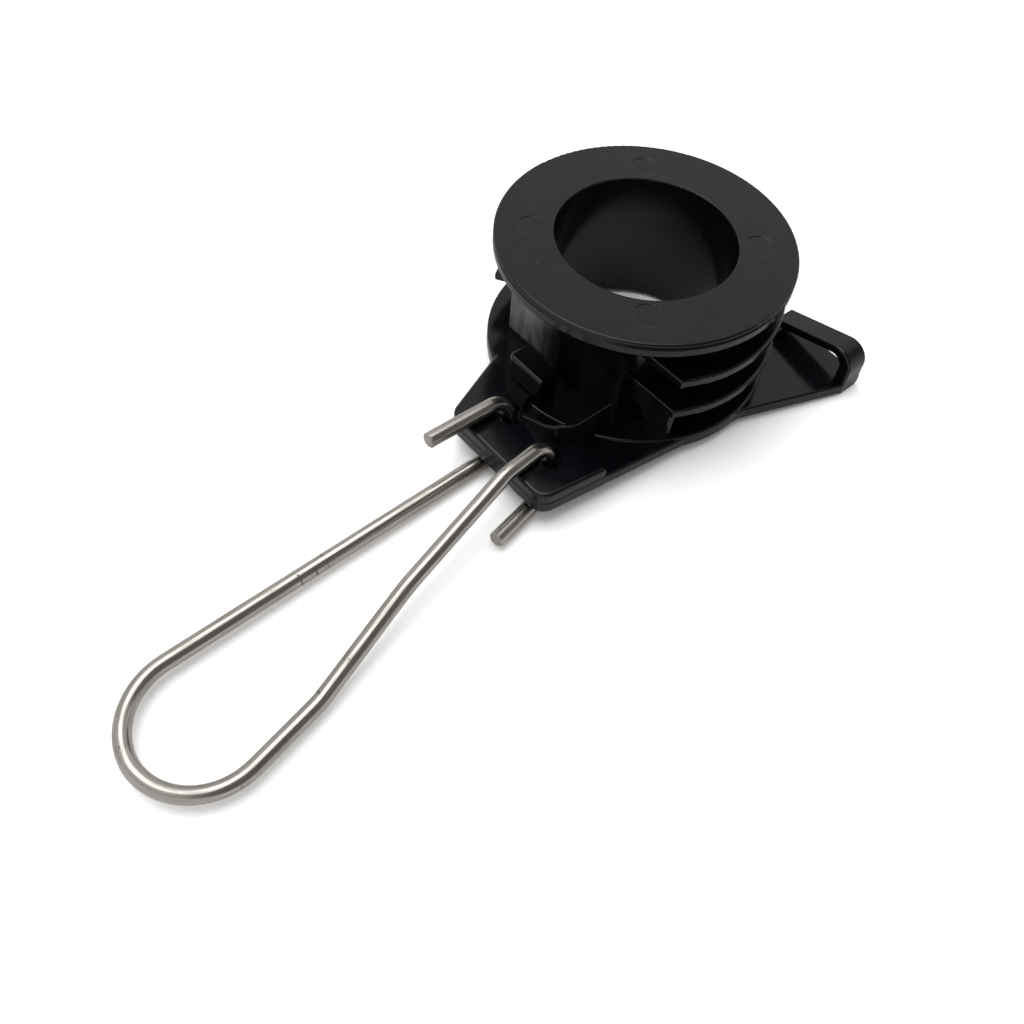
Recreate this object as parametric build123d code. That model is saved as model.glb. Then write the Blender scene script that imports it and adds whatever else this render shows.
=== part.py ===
from build123d import *
import math
import os

# A drop cable clamp: a moulded drum on a base plate, with a bent wire bail hooked through its tongue.
# The origin is on the bore's axis at the underside of the plate. +X points to the rear hook, the bail
# lies towards -X, and the lengths are millimetres.

# Drum
bore_radius = 17.2
bore_edge = 0.25
tube_wall = 1.6
rim_radius = 28.4
disc_thickness = 3.0
groove_height = 6.0
fin_thickness = 2.0
flange_thickness = 3.0
rim_edge = 0.5
fin_front_x = -13.6
fin_end_angle = 123.5

# Shoulder and rib that stiffen the front of the drum
shoulder_wall = 1.0
shoulder_reach = 5.2
shoulder_corner = 1.4
shoulder_back_angle = 111.6
rib_width = 2.3
rib_y = -12.5
rib_set_back = 3.0

# Guard under the lower fin
guard_thickness = 2.4
guard_set_back = 0.5
guard_band_height = 3.0
guard_band_set_back = 0.2
guard_rim_inset = 0.7
guard_corner = 1.2
arch_width = 5.4
arch_tuck = 1.8
arch_height = 3.8

# Base plate
plate_thickness = 2.6
plate_edge = 0.5
tongue_reach = 42.6
tongue_left_distance = 19.7
tongue_left_angle = 22.2
tongue_right_angle = 7.5
tongue_right_inset = 0.7
tongue_corner = 3.2
tongue_root = 4.5
flare_start_x = 4.3
flare_blend = 12.0
tail_front_y = -36.4
tail_back_x = 32.2
tail_back_y = -17.0
tail_corner = 1.5
tail_root_angle = -16.7

# Rear hook
hook_back_x = 31.3
hook_width = 5.3
hook_leg = 2.7
hook_beam = 1.7
hook_slope = 13.7
hook_height = 10.6
hook_outer_bend = 4.0
hook_inner_bend = 2.2
hook_free_end_y = -17.2

# Pad round the wire holes
pad_height = 4.7
pad_set_back = 0.15
pad_edge = 0.7
pad_end_x = -27.3
pad_end_slope = 1.3
pad_side_corner = 1.2

# Raised block in front of the drum
block_height = 9.9
block_rim_inset = 0.8
block_depth = 4.3
block_right_y = -4.1
block_left_y = 5.3
block_edge = 0.7
block_corner = 1.3

# Low wall that bends round the cable pocket
wall_thickness = 1.0
wall_height = 9.9
wall_edge = 0.3
wall_end_inset = 8.0
wall_ramp_start_y = -4.9
wall_ramp_angle = 28.4
pocket_right_y = -14.9
pocket_left_y = -2.2
pocket_rim_reach = 3.9
pocket_front_slant = 0.9
pocket_right_bend = 3.6
pocket_left_bend = 3.4

# Wire hooks through the tongue
wire_diameter = 3.0
wire_over_pad = 0.35
wire_under_plate = 0.45
wire_hole_clearance = 0.5
wire_hole_stretch = 0.4
hook_bend = 3.2
hook_a_inset = 9.2
hook_b_inset = 8.2
hook_a_y = -3.0
hook_b_y = -15.6
hook_a_lean = 26.0
hook_b_lean = 21.0
stub_length = 8.6
stub_a_spread = 0.4
stub_b_spread = 3.3
wire_end_edge = 0.25

# Loop of the bail, its tip measured from the front of the tongue
leg_bend_reach = 1.9
leg_bend = 40.0
tip_radius = 12.7
tip_second_bend = 12.3
tip_reach = 78.4
tip_drop = 2.6
tip_spread = 1.9
kink_from_tip = 28.3
kink_y = -26.7
kink_drop = 1.6
kink_bend = 14.0
waist_from_tip = 50.4
waist_y = -20.25
waist_drop = 5.3
waist_bend = 60.0
neck_inset = 0.9
neck_bend = 12.0

# How far cuts and joins run past a face, and how near two places must be to count as one
overshoot = 1.0
same_place = 0.01

tube_radius = bore_radius + tube_wall
shoulder_front_x = -bore_radius - shoulder_wall
shoulder_radius = tube_radius + shoulder_reach
rib_front_x = -tube_radius + rib_set_back
block_front_x = -rim_radius + block_rim_inset
pocket_front_x = -rim_radius - pocket_rim_reach
wall_end_x = -rim_radius + wall_end_inset
wire_radius = wire_diameter / 2
fin_low_z = disc_thickness + groove_height
fin_high_z = fin_low_z + fin_thickness + groove_height
flange_low_z = fin_high_z + fin_thickness + groove_height
drum_height = flange_low_z + flange_thickness
wire_high_z = pad_height + wire_over_pad + wire_radius
wire_low_z = -wire_under_plate - wire_radius
hook_a_apex_x = -tongue_reach + hook_a_inset
hook_b_apex_x = -tongue_reach + hook_b_inset
far = 4 * rim_radius


def upright(radius, low, high):
    """A disc or tube core on the drum's axis between two heights."""
    return Pos(0, 0, low) * Cylinder(radius, high - low, align=(Align.CENTER, Align.CENTER, Align.MIN))


def prism(points, low, high):
    """A closed outline of points raised between two heights."""
    outline = make_face(Polyline(*points, close=True))
    return extrude(Plane.XY.offset(low) * outline, high - low)


def polar(radius, angle):
    """The point at a radius and an angle in degrees."""
    return (radius * math.cos(math.radians(angle)), radius * math.sin(math.radians(angle)))


def rounded_rim(radius, low, high):
    """A disc with its two rim edges rounded."""
    disc = upright(radius, low, high)
    return fillet(disc.edges().filter_by(GeomType.CIRCLE), rim_edge)


def side_y(x, inset):
    """The plate's straight right edge: the y at an x, set back by an inset."""
    lean = math.radians(tongue_right_angle)
    distance = rim_radius - tongue_right_inset - inset
    return (-distance - x * math.sin(lean)) / math.cos(lean)


def left_y(x, inset):
    """The tongue's slanted left edge: the y at an x, set back by an inset."""
    lean = math.radians(tongue_left_angle)
    return (tongue_left_distance - inset + x * math.sin(lean)) / math.cos(lean)


def on_fin_front(edge):
    """Whether an edge is one of the long straight ones of a fin's cut front."""
    at_front = abs(edge.center().X - fin_front_x) < same_place
    return at_front and edge.geom_type == GeomType.LINE and edge.length > fin_thickness


def fin(low):
    """One fin round the drum, open at the front left where the cable comes in."""
    end_x, end_y = polar(far, fin_end_angle)
    gap = [(0, 0), (end_x, end_y), (-far, far), (-far, -far), (fin_front_x, -far), (fin_front_x, 0)]
    outline = make_face(CenterArc((0, 0), rim_radius, 0, 360)) - make_face(Polyline(*gap, close=True))
    plate_out = extrude(Plane.XY.offset(low) * outline, fin_thickness)
    rims = plate_out.edges().filter_by(lambda edge: edge.geom_type == GeomType.CIRCLE or on_fin_front(edge))
    return fillet(rims, rim_edge)


def drum():
    """The tube, its flange, base disc and fins, with the shoulder and the rib that stiffen it."""
    body = upright(tube_radius, 0, drum_height)
    body += rounded_rim(rim_radius, 0, disc_thickness)
    body += rounded_rim(rim_radius, flange_low_z, drum_height)
    body += fin(fin_low_z)
    body += fin(fin_high_z)
    low = disc_thickness / 2
    high = flange_low_z + flange_thickness / 2
    body += shoulder(low, high)
    rib_right_y = rib_y - rib_width / 2
    rib_left_y = rib_y + rib_width / 2
    rib = [(rib_front_x, rib_right_y), (rib_front_x, rib_left_y), (0, rib_left_y), (0, rib_right_y)]
    return body + prism(rib, low, high)


def shoulder(low, high):
    """The flat face on the drum's front left, which runs into the tube at both ends."""
    touch_y = math.sqrt(tube_radius**2 - shoulder_front_x**2) - shoulder_corner
    corner_y = math.sqrt(shoulder_radius**2 - shoulder_front_x**2)
    corner = (shoulder_front_x, corner_y)
    past_corner = (shoulder_front_x + shoulder_corner, corner_y + shoulder_corner)
    back = polar(tube_radius, shoulder_back_angle)
    return prism([(shoulder_front_x, touch_y), corner, past_corner, back, (0, 0)], low, high)


def guard():
    """The web that closes the lowest groove's front, with a low arch beside the tube for the cable."""
    low = disc_thickness / 2
    band_z = disc_thickness + guard_band_height
    high = fin_low_z + fin_thickness / 2
    web = web_slab(fin_front_x + guard_set_back, low, band_z)
    web += web_slab(fin_front_x + guard_band_set_back, band_z, high)
    arch_y = arch_tuck - math.sqrt(tube_radius**2 - fin_front_x**2)
    arch_foot = (fin_front_x - guard_thickness, arch_y, disc_thickness)
    across = Plane(origin=arch_foot, x_dir=(0, 1, 0), z_dir=(1, 0, 0))
    return web - extrude(across * Ellipse(arch_width + arch_tuck, arch_height), 3 * guard_thickness)


def web_slab(front_x, low, high):
    """One upright slab from the tube to the rim, with its outer front corner rounded."""
    back_x = fin_front_x + guard_thickness
    slab = prism([(front_x, 0), (front_x, -far), (back_x, -far), (back_x, 0)], low, high)
    slab = slab & upright(rim_radius - guard_rim_inset, low, high)
    outer = slab.edges().filter_by(Axis.Z).sort_by_distance((front_x, -rim_radius, (low + high) / 2))[0]
    return fillet(outer, guard_corner)


def plate():
    """The tongue and the tail under the drum, one flat plate with rounded edges."""
    tail_start_x = hook_back_x - hook_width
    left_start_x = -rim_radius + tongue_root
    corners = [
        (-tongue_reach, left_y(-tongue_reach, 0)),
        (-tongue_reach, side_y(-tongue_reach, 0)),
        (flare_start_x, side_y(flare_start_x, 0)),
        (tail_start_x, tail_front_y),
        (hook_back_x, tail_front_y),
        (tail_back_x, tail_back_y),
        polar(rim_radius - overshoot, tail_root_angle),
        (0, 0),
        (left_start_x, left_y(left_start_x, 0)),
    ]
    outline = make_face(Polyline(*corners, close=True))
    front = outline.vertices().group_by(Axis.X)[0]
    outline = fillet(front, tongue_corner)
    flare = outline.vertices().sort_by_distance((flare_start_x, side_y(flare_start_x, 0)))[0]
    outline = fillet(flare, flare_blend)
    tail = outline.vertices().sort_by_distance((tail_back_x, tail_back_y))[0]
    outline = fillet(tail, tail_corner)
    slab = extrude(outline, plate_thickness)
    top = slab.faces().sort_by(Axis.Z)[-1]
    slab = fillet(top.edges(), plate_edge)
    bottom = slab.faces().sort_by(Axis.Z)[0]
    return fillet(bottom.edges(), plate_edge)


def hook():
    """The open cable hook at the tail, one profile drawn across the plate and given its width."""
    slope = math.tan(math.radians(hook_slope))
    inner_y = tail_front_y + hook_leg
    inner_z = hook_height - hook_beam / math.cos(math.radians(hook_slope)) - slope * hook_leg
    end_top = hook_height - slope * (hook_free_end_y - tail_front_y)
    end_low = inner_z - slope * (hook_free_end_y - inner_y)
    profile = make_face(
        Polyline(
            (tail_front_y, 0),
            (tail_front_y, hook_height),
            (hook_free_end_y, end_top),
            (hook_free_end_y, end_low),
            (inner_y, inner_z),
            (inner_y, 0),
            close=True,
        )
    )
    outer = profile.vertices().sort_by_distance((tail_front_y, hook_height))[0]
    profile = fillet(outer, hook_outer_bend)
    inner = profile.vertices().sort_by_distance((inner_y, inner_z))[0]
    profile = fillet(inner, hook_inner_bend)
    side = Plane(origin=(hook_back_x - hook_width, 0, 0), x_dir=(0, 1, 0), z_dir=(1, 0, 0))
    bar = extrude(side * profile, hook_width)
    sides = bar.faces().filter_by(Axis.X)
    rims = sides[0].edges() + sides[1].edges()
    rims = rims.filter_by(lambda edge: edge.center().Z > plate_edge)
    return fillet(rims, plate_edge)


def pocket_outline(grow):
    """The cable pocket between the block, the low wall and the drum, seen from above."""
    right_y = pocket_right_y - grow
    left_y_here = pocket_left_y + grow
    right_x = pocket_front_x - grow
    left_x = right_x + pocket_front_slant
    corners = [(0, right_y), (right_x, right_y), (left_x, left_y_here), (0, left_y_here)]
    outline = make_face(Polyline(*corners, close=True))
    right = outline.vertices().sort_by_distance((right_x, right_y))[0]
    outline = fillet(right, pocket_right_bend + grow)
    left = outline.vertices().sort_by_distance((left_x, left_y_here))[0]
    return fillet(left, pocket_left_bend + grow)


def pad():
    """The thicker pad that carries the wire, with its top edge rounded and its end sloped."""
    front_x = -tongue_reach + pad_set_back
    back_x = -rim_radius + tongue_root
    corners = [
        (front_x, left_y(front_x, pad_set_back)),
        (front_x, side_y(front_x, pad_set_back)),
        (pad_end_x, side_y(pad_end_x, pad_set_back)),
        (pad_end_x, pocket_right_y),
        (back_x, pocket_right_y),
        (back_x, left_y(back_x, pad_set_back)),
    ]
    outline = make_face(Polyline(*corners, close=True))
    front = outline.vertices().group_by(Axis.X)[0]
    outline = fillet(front, tongue_corner - pad_set_back)
    side_end = outline.vertices().sort_by_distance((pad_end_x, side_y(pad_end_x, pad_set_back)))[0]
    outline = fillet(side_end, pad_side_corner)
    raised = extrude(outline, pad_height)
    top = raised.faces().sort_by(Axis.Z)[-1]
    outer = top.edges().filter_by(lambda edge: edge.center().X < pad_end_x - pad_edge)
    raised = fillet(outer, pad_edge)
    end = [
        (pad_end_x - pad_end_slope, pad_height),
        (pad_end_x, plate_thickness),
        (0, plate_thickness),
        (0, pad_height),
    ]
    across = Plane(origin=(0, pocket_right_y - wall_thickness, 0), x_dir=(1, 0, 0), z_dir=(0, -1, 0))
    raised -= extrude(across * make_face(Polyline(*end, close=True)), far)
    raised -= upright(rim_radius - rim_edge, -overshoot, far)
    return raised - extrude(Plane.XY.offset(plate_thickness) * pocket_outline(0), far)


def low_wall():
    """The thin wall round the pocket, whose top falls to the pad beside the first wire hole."""
    ring = pocket_outline(wall_thickness) - pocket_outline(0)
    wall = extrude(Plane.XY.offset(plate_thickness / 2) * ring, wall_height - plate_thickness / 2)
    wall -= prism([(wall_end_x, -far), (far, -far), (far, far), (wall_end_x, far)], 0, far)
    wall -= prism([(-far, pocket_left_y), (far, pocket_left_y), (far, far), (-far, far)], 0, far)
    rise = wall_height - pad_height
    full_y = wall_ramp_start_y - rise / math.tan(math.radians(wall_ramp_angle))
    above = [
        (wall_ramp_start_y, pad_height),
        (full_y, wall_height),
        (full_y, far),
        (far, far),
        (far, pad_height),
    ]
    across = Plane(origin=(-far, 0, 0), x_dir=(0, 1, 0), z_dir=(1, 0, 0))
    wall -= extrude(across * make_face(Polyline(*above, close=True)), 2 * far)
    crest = wall.faces().filter_by(lambda face: face.normal_at().Z > same_place)
    return fillet(crest.edges(), wall_edge)


def block():
    """The raised block that keeps the cable against the drum."""
    low = disc_thickness / 2
    body = Pos(block_front_x, block_right_y, low) * Box(
        block_depth, block_left_y - block_right_y, block_height - low, align=(Align.MIN, Align.MIN, Align.MIN)
    )
    uprights = body.edges().filter_by(Axis.Z)
    corner = uprights.sort_by_distance((block_front_x, block_left_y, block_height / 2))[0]
    body = fillet(corner, block_corner)
    top = body.faces().sort_by(Axis.Z)[-1]
    back_x = block_front_x + block_depth
    rounded = top.edges().filter_by(lambda edge: edge.center().X < back_x and edge.center().Y > block_right_y)
    return fillet(rounded, block_edge)


def hook_half(lean):
    """Half the way between a hook's two runs, along its leaning middle."""
    return (wire_high_z - wire_low_z) / math.cos(math.radians(lean)) / 2


def hook_side(lean):
    """How far a hook's runs stand to either side of its middle."""
    return hook_half(lean) * math.sin(math.radians(lean))


def wire_hole(apex_x, middle_y, lean):
    """A rounded hole that clears the leaning wire and the start of its bends at both mouths."""
    slope = math.tan(math.radians(lean))
    middle_z = (wire_high_z + wire_low_z) / 2
    straight = hook_half(lean) - hook_bend
    past_bend = (pad_height - middle_z) / math.cos(math.radians(lean)) - straight
    drawn_in = hook_bend - math.sqrt(hook_bend**2 - past_bend**2) + wire_hole_stretch
    centres = [
        (apex_x, middle_y),
        (apex_x - drawn_in, middle_y + slope * (pad_height - middle_z)),
        (apex_x - drawn_in, middle_y - slope * middle_z),
    ]
    middle = make_face(Polyline(*centres, close=True))
    mouth = offset(middle, wire_radius + wire_hole_clearance, kind=Kind.ARC)
    return extrude(Plane.XY.offset(-overshoot) * mouth, pad_height + 2 * overshoot)


def bail_route():
    """The middle of the bail's wire from one stub to the other, with a bend at each corner."""
    front_x = -tongue_reach
    side_a = hook_side(hook_a_lean)
    side_b = hook_side(hook_b_lean)
    leg_a_y = hook_a_y - side_a
    tip_x = front_x - tip_reach
    tip_z = wire_low_z - tip_drop
    points = [
        (front_x - stub_length, hook_a_y + side_a + stub_a_spread, wire_high_z),
        (hook_a_apex_x, hook_a_y + side_a, wire_high_z),
        (hook_a_apex_x, leg_a_y, wire_low_z),
        (front_x - leg_bend_reach, leg_a_y, wire_low_z),
        (tip_x, leg_a_y, tip_z),
        (tip_x, leg_a_y - 2 * tip_radius - tip_spread, tip_z),
        (tip_x + kink_from_tip, kink_y, wire_low_z - kink_drop),
        (tip_x + waist_from_tip, waist_y, wire_high_z - waist_drop),
        (front_x - leg_bend_reach, hook_b_y + side_b - neck_inset, wire_high_z),
        (hook_b_apex_x, hook_b_y + side_b, wire_high_z),
        (hook_b_apex_x, hook_b_y - side_b, wire_low_z),
        (front_x - stub_length, hook_b_y - side_b - stub_b_spread, wire_low_z),
    ]
    hooks = [hook_bend, hook_bend]
    loop = [leg_bend, tip_radius, tip_second_bend, kink_bend, waist_bend, neck_bend]
    return FilletPolyline(*points, radius=hooks + loop + hooks)


def clamp_body():
    """The whole moulding."""
    body = drum()
    body += guard()
    body += plate()
    body += pad()
    body += low_wall()
    body += block()
    body += hook()
    body -= upright(bore_radius, -overshoot, drum_height + overshoot)
    body -= wire_hole(hook_a_apex_x, hook_a_y, hook_a_lean)
    body -= wire_hole(hook_b_apex_x, hook_b_y, hook_b_lean)
    circles = body.edges().filter_by(GeomType.CIRCLE)
    mouths = circles.filter_by(lambda edge: abs(edge.radius - bore_radius) < same_place)
    return fillet(mouths, bore_edge)


def wire_bail():
    """The bent wire, a round section swept along its route."""
    route = bail_route()
    start = Plane(origin=route @ 0, z_dir=route % 0)
    wire = sweep(start * Circle(wire_radius), path=route)
    ends = wire.faces().filter_by(GeomType.PLANE).edges()
    wire = chamfer(ends, wire_end_edge)
    print("wire volume against section times length", wire.volume, math.pi * wire_radius**2 * route.length)
    return wire


os.makedirs("parts", exist_ok=True)
for name, maker in (("clamp_body", clamp_body), ("wire_bail", wire_bail)):
    solid = maker()
    print(name, "volume", round(solid.volume, 1), "solids", len(solid.solids()))
    export_step(solid, os.path.join("parts", name + ".step"))
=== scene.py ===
import math

import bpy
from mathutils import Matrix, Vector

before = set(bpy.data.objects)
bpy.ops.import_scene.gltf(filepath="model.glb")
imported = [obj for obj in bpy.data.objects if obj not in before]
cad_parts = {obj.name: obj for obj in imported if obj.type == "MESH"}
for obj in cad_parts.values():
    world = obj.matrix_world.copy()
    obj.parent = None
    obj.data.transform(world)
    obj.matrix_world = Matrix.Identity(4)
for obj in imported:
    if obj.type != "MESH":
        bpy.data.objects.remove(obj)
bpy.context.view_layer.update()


# The camera looks down on the clamp from the front left, about 0.21 m away,
# with a slight roll, so that the bail comes towards the lower left corner.
camera_data = bpy.data.cameras.new("camera")
camera_data.sensor_width = 36.0
camera_data.lens = 35.156
camera_data.clip_start = 0.01
camera_data.clip_end = 20.0
camera_data.dof.use_dof = False
camera = bpy.data.objects.new("camera", camera_data)
camera.location = (-0.1209, -0.09361, 0.14574)
camera.rotation_euler = (math.radians(35.922), math.radians(-3.605), math.radians(-40.040))
bpy.context.scene.collection.objects.link(camera)
bpy.context.scene.camera = camera


# The table is a plain white sheet. The clamp leans on its wire, so the table meets the rear
# edge of its plate and the wire's two bends under it, and falls away a little towards the bail.
table_rear_x = 0.0317
bend_run = 0.0683
bend_drop = 0.00345
table_slope = math.atan2(bend_drop, bend_run)
table_size = 8.0
lit_white = (0.92, 0.92, 0.92, 1)
seen_white = (2.1, 2.1, 2.1, 1)

bpy.ops.object.select_all(action="DESELECT")
bpy.ops.mesh.primitive_plane_add(
    size=table_size, location=(table_rear_x, 0, 0), rotation=(0, -table_slope, 0)
)
table = bpy.context.object
table.name = "table"
bpy.ops.object.transform_apply(location=True, rotation=True, scale=True)

table_finish = bpy.data.materials.new("white_table")
table_finish.use_nodes = True
nodes = table_finish.node_tree.nodes
links = table_finish.node_tree.links
nodes.clear()
table_out = nodes.new("ShaderNodeOutputMaterial")
table_matt = nodes.new("ShaderNodeBsdfDiffuse")
table_rays = nodes.new("ShaderNodeLightPath")
table_white = nodes.new("ShaderNodeMix")
table_white.data_type = "RGBA"
table_white.inputs["A"].default_value = lit_white
table_white.inputs["B"].default_value = seen_white
links.new(table_rays.outputs["Is Camera Ray"], table_white.inputs["Factor"])
links.new(table_white.outputs["Result"], table_matt.inputs["Color"])
links.new(table_matt.outputs["BSDF"], table_out.inputs["Surface"])
table.data.materials.append(table_finish)


# The studio is a white tent with one wide softbox hung over the clamp. The tent is open
# where the photographer stands, and that darker side shows as a dark band along the wire.
studio = bpy.data.worlds.new("white_tent")
studio.use_nodes = True
bpy.context.scene.world = studio
nodes = studio.node_tree.nodes
links = studio.node_tree.links
tent = nodes["Background"]
tent.inputs["Color"].default_value = (1, 1, 1, 1)
tent_level = 0.55
opening_side = (0.10, -0.72, 0.68)
opening_level = 0.14
cloth_ends = 0.60
opening_starts = 0.82

tent_place = nodes.new("ShaderNodeTexCoord")
towards_opening = nodes.new("ShaderNodeVectorMath")
towards_opening.operation = "DOT_PRODUCT"
towards_opening.inputs[1].default_value = opening_side
links.new(tent_place.outputs["Generated"], towards_opening.inputs[0])
tent_cloth = nodes.new("ShaderNodeMapRange")
tent_cloth.interpolation_type = "SMOOTHSTEP"
tent_cloth.inputs["From Min"].default_value = cloth_ends
tent_cloth.inputs["From Max"].default_value = opening_starts
tent_cloth.inputs["To Min"].default_value = tent_level
tent_cloth.inputs["To Max"].default_value = opening_level
links.new(towards_opening.outputs["Value"], tent_cloth.inputs["Value"])

tent_rays = nodes.new("ShaderNodeLightPath")
tent_seen = nodes.new("ShaderNodeMath")
tent_seen.operation = "MAXIMUM"
links.new(tent_rays.outputs["Is Camera Ray"], tent_seen.inputs[0])
links.new(tent_rays.outputs["Is Transmission Ray"], tent_seen.inputs[1])
tent_shown = nodes.new("ShaderNodeMix")
tent_shown.inputs["B"].default_value = 1.0
links.new(tent_seen.outputs["Value"], tent_shown.inputs["Factor"])
links.new(tent_cloth.outputs["Result"], tent_shown.inputs["A"])
links.new(tent_shown.outputs["Result"], tent.inputs["Strength"])

bpy.context.scene.view_settings.view_transform = "Standard"


def softbox(name, place, aim, size, watts):
    """A square studio lamp that faces a point on the clamp."""
    lamp_data = bpy.data.lights.new(name, "AREA")
    lamp_data.shape = "SQUARE"
    lamp_data.size = size
    lamp_data.energy = watts
    lamp = bpy.data.objects.new(name, lamp_data)
    lamp.location = place
    direction = Vector(aim) - Vector(place)
    lamp.rotation_euler = direction.to_track_quat("-Z", "Y").to_euler()
    bpy.context.scene.collection.objects.link(lamp)


softbox("overhead_softbox", place=(-0.06, 0.17, 0.88), aim=(-0.03, 0, 0.01), size=0.72, watts=2.7)


# The clamp's body is one moulding of black plastic with a glossy skin. The drum's top face has
# four shallow ejector marks, its rim is well rounded, and a fine parting line runs round the plate.
# All lengths are metres, and each pair of them is where a mark starts to fade and where it ends.
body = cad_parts["clamp_body"]
mark_reach = 0.0212
mark_turn = math.radians(46.5)
mark_radius = 0.0030
mark_edge = 0.00030
mark_depth = 0.00022
flange_top = 0.0279
flange_inside = 0.0270
rim_top = (0.02670, 0.02750)
rim_foot = (0.02505, 0.02540)
rim_roll = 0.00080
parting_height = 0.0013
parting_line = (0.00003, 0.00008)
parting_depth = 0.00004
bore_wall = 0.0180
flat_x = -0.0184
flat_skin = (0.0004, 0.0006)
flat_start_y = (0.0025, 0.0100)
flat_foot = (0.0034, 0.0042)
flat_top = 0.0249
pore_depth = 0.000002
sink_depth = 0.00010
plastic_dark = (0.0024, 0.0030, 0.0048)
plastic_light = (0.0052, 0.0060, 0.0084)
# Pale grey of the painted sheen on the flat of the shoulder.
painted_sheen_grey = (0.20, 0.205, 0.215)
dust_grey = (0.14, 0.14, 0.14)

plastic = bpy.data.materials.new("black_moulded_plastic")
plastic.use_nodes = True
nodes = plastic.node_tree.nodes
links = plastic.node_tree.links
skin = nodes["Principled BSDF"]
skin.inputs["IOR"].default_value = 1.5
place = nodes.new("ShaderNodeTexCoord")


def noise(scale, detail, rough, space=None):
    """Solid noise in features per metre, on the piece's own coordinates or on another space."""
    node = nodes.new("ShaderNodeTexNoise")
    node.inputs["Scale"].default_value = scale
    node.inputs["Detail"].default_value = detail
    node.inputs["Roughness"].default_value = rough
    if space is None:
        space = place.outputs["Object"]
    links.new(space, node.inputs["Vector"])
    return node.outputs["Fac"]


def remap(value, low, high, to_low, to_high):
    """A value's range turned into another, held at both ends."""
    node = nodes.new("ShaderNodeMapRange")
    node.inputs["From Min"].default_value = low
    node.inputs["From Max"].default_value = high
    node.inputs["To Min"].default_value = to_low
    node.inputs["To Max"].default_value = to_high
    links.new(value, node.inputs["Value"])
    return node.outputs["Result"]


def flattened():
    """The piece's own coordinates, seen in plan."""
    node = nodes.new("ShaderNodeVectorMath")
    node.operation = "MULTIPLY"
    node.inputs[1].default_value = (1, 1, 0)
    links.new(place.outputs["Object"], node.inputs[0])
    return node.outputs["Vector"]


def maths(operation, first, second=None):
    """One step of arithmetic on a socket and a socket or a number."""
    node = nodes.new("ShaderNodeMath")
    node.operation = operation
    links.new(first, node.inputs[0])
    if isinstance(second, (int, float)):
        node.inputs[1].default_value = second
    elif second is not None:
        links.new(second, node.inputs[1])
    return node.outputs["Value"]


def away_from(point, places):
    """How far each place lies from a point."""
    node = nodes.new("ShaderNodeVectorMath")
    node.operation = "DISTANCE"
    node.inputs[1].default_value = point
    links.new(places, node.inputs[0])
    return node.outputs["Value"]


def relief(*heights):
    """A bump from the sum of heights in metres, each a socket with its full depth."""
    total = None
    for height, depth in heights:
        step = maths("MULTIPLY", height, depth)
        total = step if total is None else maths("ADD", total, step)
    node = nodes.new("ShaderNodeBump")
    node.inputs["Strength"].default_value = 1.0
    node.inputs["Distance"].default_value = 1.0
    links.new(total, node.inputs["Height"])
    return node.outputs["Normal"]


def tint(mask, plain, marked):
    """A colour that turns from one to another where a mask is on."""
    node = nodes.new("ShaderNodeMix")
    node.data_type = "RGBA"
    if isinstance(plain, tuple):
        node.inputs["A"].default_value = (*plain, 1)
    else:
        links.new(plain, node.inputs["A"])
    node.inputs["B"].default_value = (*marked, 1)
    links.new(mask, node.inputs["Factor"])
    return node.outputs["Result"]


specks = bpy.data.node_groups.new("scattered_specks", "ShaderNodeTree")
specks.interface.new_socket("Vector", in_out="INPUT", socket_type="NodeSocketVector")
specks.interface.new_socket("Cells per Metre", in_out="INPUT", socket_type="NodeSocketFloat")
specks.interface.new_socket("Reach", in_out="INPUT", socket_type="NodeSocketFloat")
specks.interface.new_socket("Share", in_out="INPUT", socket_type="NodeSocketFloat")
specks.interface.new_socket("Mask", in_out="OUTPUT", socket_type="NodeSocketFloat")
specks_in = specks.nodes.new("NodeGroupInput")
specks_out = specks.nodes.new("NodeGroupOutput")
specks_cells = specks.nodes.new("ShaderNodeTexVoronoi")
specks_inside = specks.nodes.new("ShaderNodeMath")
specks_inside.operation = "LESS_THAN"
specks_chance = specks.nodes.new("ShaderNodeSeparateColor")
specks_chosen = specks.nodes.new("ShaderNodeMath")
specks_chosen.operation = "LESS_THAN"
specks_both = specks.nodes.new("ShaderNodeMath")
specks_both.operation = "MULTIPLY"
specks.links.new(specks_in.outputs["Vector"], specks_cells.inputs["Vector"])
specks.links.new(specks_in.outputs["Cells per Metre"], specks_cells.inputs["Scale"])
specks.links.new(specks_cells.outputs["Distance"], specks_inside.inputs[0])
specks.links.new(specks_in.outputs["Reach"], specks_inside.inputs[1])
specks.links.new(specks_cells.outputs["Color"], specks_chance.inputs["Color"])
specks.links.new(specks_chance.outputs["Red"], specks_chosen.inputs[0])
specks.links.new(specks_in.outputs["Share"], specks_chosen.inputs[1])
specks.links.new(specks_inside.outputs["Value"], specks_both.inputs[0])
specks.links.new(specks_chosen.outputs["Value"], specks_both.inputs[1])
specks.links.new(specks_both.outputs["Value"], specks_out.inputs["Mask"])


def scattered(cells, reach, share):
    """A sparse scatter of small round specks, from the shared group."""
    node = nodes.new("ShaderNodeGroup")
    node.node_tree = specks
    node.inputs["Cells per Metre"].default_value = cells
    node.inputs["Reach"].default_value = reach
    node.inputs["Share"].default_value = share
    links.new(place.outputs["Object"], node.inputs["Vector"])
    return node.outputs["Mask"]


axes = nodes.new("ShaderNodeSeparateXYZ")
links.new(place.outputs["Object"], axes.inputs["Vector"])
plan = flattened()
from_axis = away_from((0, 0, 0), plan)
on_top = maths("GREATER_THAN", axes.outputs["Z"], flange_top)

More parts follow.
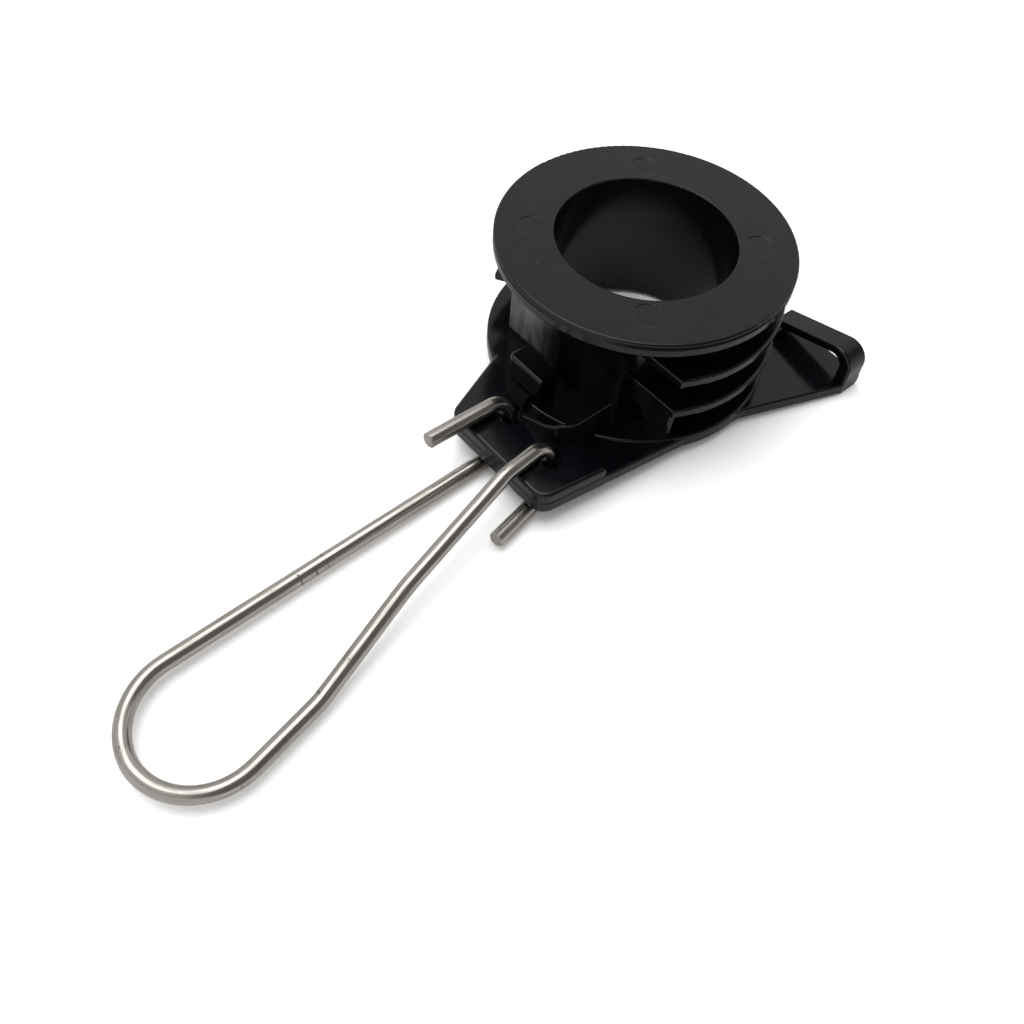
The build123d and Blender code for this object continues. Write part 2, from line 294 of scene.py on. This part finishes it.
nearest_mark = None
for quarter in range(4):
    angle = mark_turn + quarter * math.pi / 2
    mark_middle = (mark_reach * math.cos(angle), mark_reach * math.sin(angle), 0)
    off_mark = away_from(mark_middle, plan)
    nearest_mark = off_mark if nearest_mark is None else maths("MINIMUM", nearest_mark, off_mark)
marks = maths("MULTIPLY", remap(nearest_mark, mark_radius - mark_edge, mark_radius, 1, 0), on_top)

under_top = remap(axes.outputs["Z"], *rim_top, 1, 0)
over_foot = remap(axes.outputs["Z"], *rim_foot, 0, 1)
on_flange_edge = maths("GREATER_THAN", from_axis, flange_inside)
rim = maths("MULTIPLY", maths("MULTIPLY", under_top, over_foot), on_flange_edge)
off_parting = maths("ABSOLUTE", maths("SUBTRACT", axes.outputs["Z"], parting_height))
off_bore = maths("GREATER_THAN", from_axis, bore_wall)
parting = maths("MULTIPLY", remap(off_parting, *parting_line, 1, 0), off_bore)

# The flat of the shoulder carries a painted sheen, pale grey in upright streaks where it catches the light,
# and is a little rougher there.
off_flat = maths("ABSOLUTE", maths("SUBTRACT", axes.outputs["X"], flat_x))
on_flat = remap(off_flat, *flat_skin, 1, 0)
flat_span = remap(axes.outputs["Y"], *flat_start_y, 0, 1)
over_plate = remap(axes.outputs["Z"], *flat_foot, 0, 1)
flat_height = maths("MULTIPLY", over_plate, maths("LESS_THAN", axes.outputs["Z"], flat_top))
upright = nodes.new("ShaderNodeMapping")
upright.inputs["Scale"].default_value = (1.0, 1.0, 0.3)
links.new(place.outputs["Object"], upright.inputs["Vector"])
streaks = remap(noise(420, 3.0, 0.6, upright.outputs["Vector"]), 0.35, 0.65, 0.35, 1.0)
painted_sheen = maths("MULTIPLY", maths("MULTIPLY", on_flat, flat_span), maths("MULTIPLY", flat_height, streaks))

pores = noise(6500, 3.0, 0.6)
mottle = noise(260, 4.0, 0.6)
sink = noise(70, 1.0, 0.4)
dust = scattered(420, 0.06, 0.045)

rough_skin = remap(mottle, 0.3, 0.7, 0.13, 0.18)
rough_top = remap(mottle, 0.3, 0.7, 0.22, 0.29)
rough_pick = nodes.new("ShaderNodeMix")
links.new(on_top, rough_pick.inputs["Factor"])
links.new(rough_skin, rough_pick.inputs["A"])
links.new(rough_top, rough_pick.inputs["B"])
# Rougher where dust lies, and where the painted sheen lies on the flat.
dust_and_sheen = maths("MAXIMUM", maths("MULTIPLY", dust, 0.5), maths("MULTIPLY", painted_sheen, 0.3))
links.new(maths("ADD", rough_pick.outputs["Result"], dust_and_sheen), skin.inputs["Roughness"])

clouds = remap(mottle, 0.3, 0.7, 0, 1)
shade = tint(clouds, plastic_dark, plastic_light)
# The painted sheen lightens the flat of the shoulder, and the specks of dust go on top.
with_painted_sheen = tint(painted_sheen, shade, painted_sheen_grey)
links.new(tint(dust, with_painted_sheen, dust_grey), skin.inputs["Base Color"])
skin_relief = relief(
    (pores, pore_depth), (sink, sink_depth), (marks, -mark_depth), (rim, rim_roll), (parting, parting_depth)
)
links.new(skin_relief, skin.inputs["Normal"])

body.data.materials.clear()
body.data.materials.append(plastic)


# The bail is 3 mm stainless wire, drawn, bent and cut to length, with its drawing lines along
# it, a few dull nicks where the bending tool held it, and coarser cut faces at its two ends.
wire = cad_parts["wire_bail"]
wire_radius = 0.0015
upper_end = (-0.0512, -0.0007, 0.00655)
lower_end = (-0.0512, -0.0205, -0.00195)
plate_x = -0.0445
waist_x = -0.0706
kink_x = -0.0927
loop_start_x = -0.1110
loop_tip_x = -0.1210
left_leg_y = -0.0049
between_legs = -0.0150
loop_middle = (-0.1085, -0.0175, 0)
loop_radius = 0.0125
loop_height = -0.00455
line_stretch = 0.04
line_depth = 0.000006
left_nicks = (-0.0828, -0.0797, -0.0774)
right_nick = -0.0922
right_nick_side = (0.0002, 0.0006)
nick_half_width = 0.00025
nick_depth = 0.00003
pit_depth = 0.00001
steel_bright = (0.64, 0.606, 0.562)
steel_dark = (0.38, 0.350, 0.314)
soil_brown = (0.14, 0.13, 0.12)

steel = bpy.data.materials.new("drawn_stainless_wire")
steel.use_nodes = True
nodes = steel.node_tree.nodes
links = steel.node_tree.links
metal = nodes["Principled BSDF"]
metal.inputs["Metallic"].default_value = 1.0
place = nodes.new("ShaderNodeTexCoord")
axes = nodes.new("ShaderNodeSeparateXYZ")
links.new(place.outputs["Object"], axes.inputs["Vector"])


def climb(start, *runs):
    """A value that rises in straight runs along the wire, each from one x to the next."""
    total = None
    for low, high, rise in runs:
        step = remap(axes.outputs["X"], low, high, 0, rise)
        total = maths("ADD", step, start) if total is None else maths("ADD", total, step)
    return total


def choose(test, usual, other):
    """One value where a test is nought and another where it is one."""
    node = nodes.new("ShaderNodeMix")
    links.new(test, node.inputs["Factor"])
    links.new(usual, node.inputs["A"])
    links.new(other, node.inputs["B"])
    return node.outputs["Result"]


# The drawing lines follow the wire: two legs that bend and climb, and the round loop.
right_leg_y = climb(
    -0.03026,
    (loop_start_x, kink_x, 0.00356),
    (kink_x, waist_x, 0.00645),
    (waist_x, plate_x, 0.00535),
)
right_leg_z = climb(
    -0.0042,
    (loop_start_x, kink_x, 0.00065),
    (kink_x, waist_x, 0.0048),
    (waist_x, plate_x, 0.0053),
)
left_leg_z = climb(loop_height, (loop_tip_x, plate_x, 0.0026))
on_right = maths("LESS_THAN", axes.outputs["Y"], between_legs)
on_loop = maths("LESS_THAN", axes.outputs["X"], loop_middle[0])
off_left = maths("SUBTRACT", axes.outputs["Y"], left_leg_y)
off_right = maths("SUBTRACT", axes.outputs["Y"], right_leg_y)
off_loop = maths("SUBTRACT", away_from(loop_middle, flattened()), loop_radius)
above_left = maths("SUBTRACT", axes.outputs["Z"], left_leg_z)
above_right = maths("SUBTRACT", axes.outputs["Z"], right_leg_z)
line_space = nodes.new("ShaderNodeCombineXYZ")
along = maths("MULTIPLY", maths("ADD", axes.outputs["X"], axes.outputs["Y"]), line_stretch)
across = choose(on_loop, choose(on_right, off_left, off_right), off_loop)
above = choose(on_right, above_left, above_right)
links.new(along, line_space.inputs["X"])
links.new(across, line_space.inputs["Y"])
links.new(above, line_space.inputs["Z"])
lines = noise(2600, 3.0, 0.65, line_space.outputs["Vector"])

# The left leg has broken nicks on every side, and the right leg one on the side of the loop.
nearest_nick = None
for nick_x in left_nicks:
    off_nick = maths("ABSOLUTE", maths("SUBTRACT", axes.outputs["X"], nick_x))
    nearest_nick = off_nick if nearest_nick is None else maths("MINIMUM", nearest_nick, off_nick)
on_left = maths("GREATER_THAN", axes.outputs["Y"], between_legs)
nick_left = maths("MULTIPLY", remap(nearest_nick, 0, nick_half_width, 1, 0), on_left)
off_right_nick = maths("ABSOLUTE", maths("SUBTRACT", axes.outputs["X"], right_nick))
nick_side = maths("MULTIPLY", on_right, remap(off_right, *right_nick_side, 0, 1))
nick_right = maths("MULTIPLY", remap(off_right_nick, 0, nick_half_width, 1, 0), nick_side)
stain = noise(180, 4.0, 0.65)
broken = remap(noise(620, 2.0, 0.5), 0.47, 0.56, 0, 1)
nicks = maths("ADD", maths("MULTIPLY", nick_left, broken), nick_right)
pits = scattered(620, 0.14, 0.09)
at_upper_end = maths("LESS_THAN", away_from(upper_end, place.outputs["Object"]), wire_radius)
at_lower_end = maths("LESS_THAN", away_from(lower_end, place.outputs["Object"]), wire_radius)
cut_faces = maths("MAXIMUM", at_upper_end, at_lower_end)

dark_lines = remap(lines, 0.40, 0.62, 1, 0)
grime = maths("MULTIPLY", dark_lines, remap(stain, 0.3, 0.7, 0.4, 1.0))
soiled = maths("MAXIMUM", nicks, maths("MULTIPLY", pits, 0.6))
grey = tint(grime, steel_bright, steel_dark)
links.new(tint(soiled, grey, soil_brown), metal.inputs["Base Color"])
drawn_finish = maths("ADD", remap(stain, 0.3, 0.7, 0.17, 0.25), maths("MULTIPLY", dark_lines, 0.06))
dull = maths("MAXIMUM", maths("MULTIPLY", nicks, 0.25), maths("MULTIPLY", cut_faces, 0.30))
links.new(maths("ADD", drawn_finish, dull), metal.inputs["Roughness"])
wire_relief = relief((lines, line_depth), (nicks, -nick_depth), (pits, -pit_depth))
links.new(wire_relief, metal.inputs["Normal"])

wire.data.materials.clear()
wire.data.materials.append(steel)
